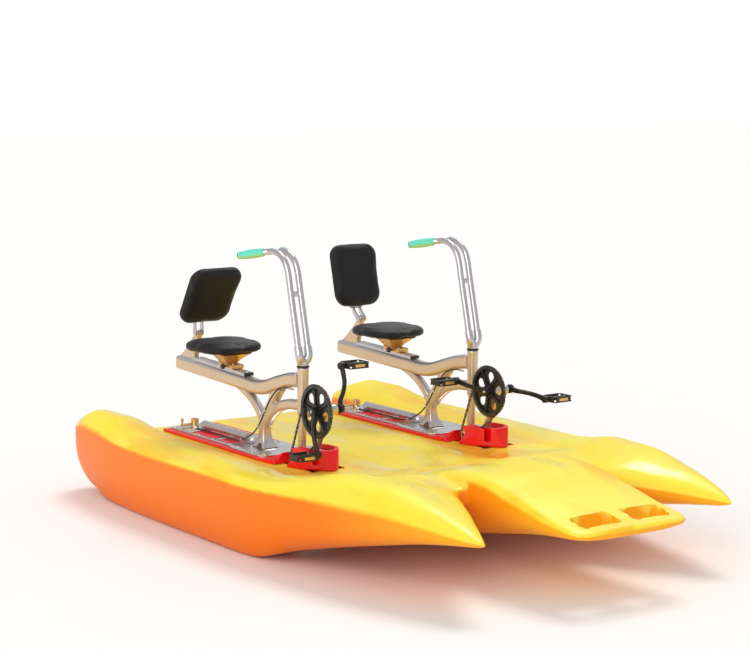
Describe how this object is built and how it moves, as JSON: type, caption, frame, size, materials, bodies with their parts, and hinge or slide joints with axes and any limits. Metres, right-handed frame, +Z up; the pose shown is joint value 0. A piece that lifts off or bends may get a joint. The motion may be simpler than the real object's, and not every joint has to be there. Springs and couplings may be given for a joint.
{
  "type": "pedal boat",
  "caption": "Side-by-side pedal boat: yellow moulded hull with recumbent cycle drives, padded seats, steering bars, chain-driven propellers and rudders.",
  "frame": {"origin": "on the ground under the middle of the boat's overall box", "axes": "+X towards the bow, +Y to port, +Z up"},
  "size_m": [2.85, 1.68, 1.1315],
  "materials": {
    "hull_yellow": "smooth rotomoulded, glossy",
    "drive_red": "glossy",
    "frame_aluminium": "satin, clear anodised",
    "bronze_metal": "bronze anodised",
    "black_metal": "semi-gloss black",
    "chain_steel": "oiled",
    "black_rubber": "matt",
    "black_vinyl": "soft sheen vinyl",
    "grip_mint": "soft",
    "black_plastic": "satin"
  },
  "bodies": {
    "boat": {"hull": "hull_yellow", "stbd_base_housing": "drive_red", "stbd_base_plate": "frame_aluminium", "stbd_main_beam": "frame_aluminium", "stbd_leg_frame": "frame_aluminium", "stbd_head_tube": "frame_aluminium", "stbd_seal_ring": "black_rubber", "stbd_front_support": "frame_aluminium", "stbd_seat_rail": "frame_aluminium", "stbd_chain": "chain_steel", "stbd_drive_pod": "frame_aluminium", "stbd_guide_tube": "frame_aluminium", "stbd_steering_cable": "black_rubber", "port_base_housing": "drive_red", "port_base_plate": "frame_aluminium", "port_main_beam": "frame_aluminium", "port_leg_frame": "frame_aluminium", "port_head_tube": "frame_aluminium", "port_seal_ring": "black_rubber", "port_front_support": "frame_aluminium", "port_seat_rail": "frame_aluminium", "port_chain": "chain_steel", "port_drive_pod": "frame_aluminium", "port_guide_tube": "frame_aluminium", "port_steering_cable": "black_rubber"},
    "stbd_steering_body": {"stbd_steer_socket": "bronze_metal", "stbd_handlebar": "frame_aluminium", "stbd_grip_right": "grip_mint", "stbd_grip_left": "grip_mint"},
    "stbd_rudder_body": {"stbd_rudder": "black_plastic", "stbd_tiller": "bronze_metal"},
    "stbd_crankset_body": {"stbd_chainring": "black_metal", "stbd_crank_right": "black_metal", "stbd_crank_left": "black_metal"},
    "stbd_pedal_right_body": {"stbd_pedal_right": "black_plastic"},
    "stbd_pedal_left_body": {"stbd_pedal_left": "black_plastic"},
    "stbd_sprocket_body": {"stbd_drive_sprocket": "bronze_metal"},
    "stbd_propeller_body": {"stbd_propeller": "bronze_metal"},
    "stbd_seat_body": {"stbd_seat_carriage": "bronze_metal", "stbd_seat_pad": "black_vinyl"},
    "stbd_backrest_body": {"stbd_back_hinge": "frame_aluminium", "stbd_back_pad": "black_vinyl"},
    "port_steering_body": {"port_steer_socket": "bronze_metal", "port_handlebar": "frame_aluminium", "port_grip_right": "grip_mint", "port_grip_left": "grip_mint"},
    "port_rudder_body": {"port_rudder": "black_plastic", "port_tiller": "bronze_metal"},
    "port_crankset_body": {"port_chainring": "black_metal", "port_crank_right": "black_metal", "port_crank_left": "black_metal"},
    "port_pedal_right_body": {"port_pedal_right": "black_plastic"},
    "port_pedal_left_body": {"port_pedal_left": "black_plastic"},
    "port_sprocket_body": {"port_drive_sprocket": "bronze_metal"},
    "port_propeller_body": {"port_propeller": "bronze_metal"},
    "port_seat_body": {"port_seat_carriage": "bronze_metal", "port_seat_pad": "black_vinyl"},
    "port_backrest_body": {"port_back_hinge": "frame_aluminium", "port_back_pad": "black_vinyl"}
  },
  "joints": [
    {"name": "stbd_steer", "type": "hinge", "parent": "boat", "child": "stbd_steering_body", "pos_m": [-0.07, -0.42, 0.68], "axis": [0, 0, 1], "range_deg": [-40, 40]},
    {"name": "stbd_rudder", "type": "hinge", "parent": "boat", "child": "stbd_rudder_body", "pos_m": [-0.935, -0.42, 0.2], "axis": [0, 0, 1], "range_deg": [-33, 33]},
    {"name": "stbd_crank", "type": "hinge", "parent": "boat", "child": "stbd_crankset_body", "pos_m": [0.11, -0.42, 0.53], "axis": [0, 1, 0], "continuous": true},
    {"name": "stbd_pedal_right", "type": "hinge", "parent": "stbd_crankset_body", "child": "stbd_pedal_right_body", "pos_m": [0.17915, -0.575, 0.3747], "axis": [0, 1, 0], "continuous": true},
    {"name": "stbd_pedal_left", "type": "hinge", "parent": "stbd_crankset_body", "child": "stbd_pedal_left_body", "pos_m": [0.04085, -0.25, 0.6853], "axis": [0, 1, 0], "continuous": true},
    {"name": "stbd_sprocket", "type": "hinge", "parent": "boat", "child": "stbd_sprocket_body", "pos_m": [-0.054, -0.42, 0.325], "axis": [0, 1, 0], "continuous": true},
    {"name": "stbd_propeller", "type": "hinge", "parent": "boat", "child": "stbd_propeller_body", "pos_m": [-0.126, -0.42, 0.12], "axis": [1, 0, 0], "continuous": true},
    {"name": "stbd_seat_slide", "type": "slide", "parent": "boat", "child": "stbd_seat_body", "axis": [0.9993, 0, -0.0363], "range_m": [-0.02, 0.085]},
    {"name": "stbd_backrest", "type": "hinge", "parent": "boat", "child": "stbd_backrest_body", "pos_m": [-0.895, -0.42, 0.72], "axis": [0, 1, 0], "range_deg": [-53, 32]},
    {"name": "port_steer", "type": "hinge", "parent": "boat", "child": "port_steering_body", "pos_m": [-0.07, 0.42, 0.68], "axis": [0, 0, 1], "range_deg": [-40, 40]},
    {"name": "port_rudder", "type": "hinge", "parent": "boat", "child": "port_rudder_body", "pos_m": [-0.935, 0.42, 0.2], "axis": [0, 0, 1], "range_deg": [-33, 33]},
    {"name": "port_crank", "type": "hinge", "parent": "boat", "child": "port_crankset_body", "pos_m": [0.11, 0.42, 0.53], "axis": [0, 1, 0], "continuous": true},
    {"name": "port_pedal_right", "type": "hinge", "parent": "port_crankset_body", "child": "port_pedal_right_body", "pos_m": [-0.05791, 0.265, 0.55659], "axis": [0, 1, 0], "continuous": true},
    {"name": "port_pedal_left", "type": "hinge", "parent": "port_crankset_body", "child": "port_pedal_left_body", "pos_m": [0.27791, 0.59, 0.50341], "axis": [0, 1, 0], "continuous": true},
    {"name": "port_sprocket", "type": "hinge", "parent": "boat", "child": "port_sprocket_body", "pos_m": [-0.054, 0.42, 0.325], "axis": [0, 1, 0], "continuous": true},
    {"name": "port_propeller", "type": "hinge", "parent": "boat", "child": "port_propeller_body", "pos_m": [-0.126, 0.42, 0.12], "axis": [1, 0, 0], "continuous": true},
    {"name": "port_seat_slide", "type": "slide", "parent": "boat", "child": "port_seat_body", "axis": [0.9993, 0, -0.0363], "range_m": [-0.02, 0.085]},
    {"name": "port_backrest", "type": "hinge", "parent": "boat", "child": "port_backrest_body", "pos_m": [-0.895, 0.42, 0.72], "axis": [0, 1, 0], "range_deg": [-8, 77]}
  ],
  "couplings": [
    {"joint": "stbd_rudder", "follows": "stbd_steer", "ratio": -0.8},
    {"joint": "stbd_sprocket", "follows": "stbd_crank", "ratio": 3.5714},
    {"joint": "stbd_propeller", "follows": "stbd_crank", "ratio": 7.1429},
    {"joint": "port_rudder", "follows": "port_steer", "ratio": -0.8},
    {"joint": "port_sprocket", "follows": "port_crank", "ratio": 3.5714},
    {"joint": "port_propeller", "follows": "port_crank", "ratio": 7.1429}
  ]
}
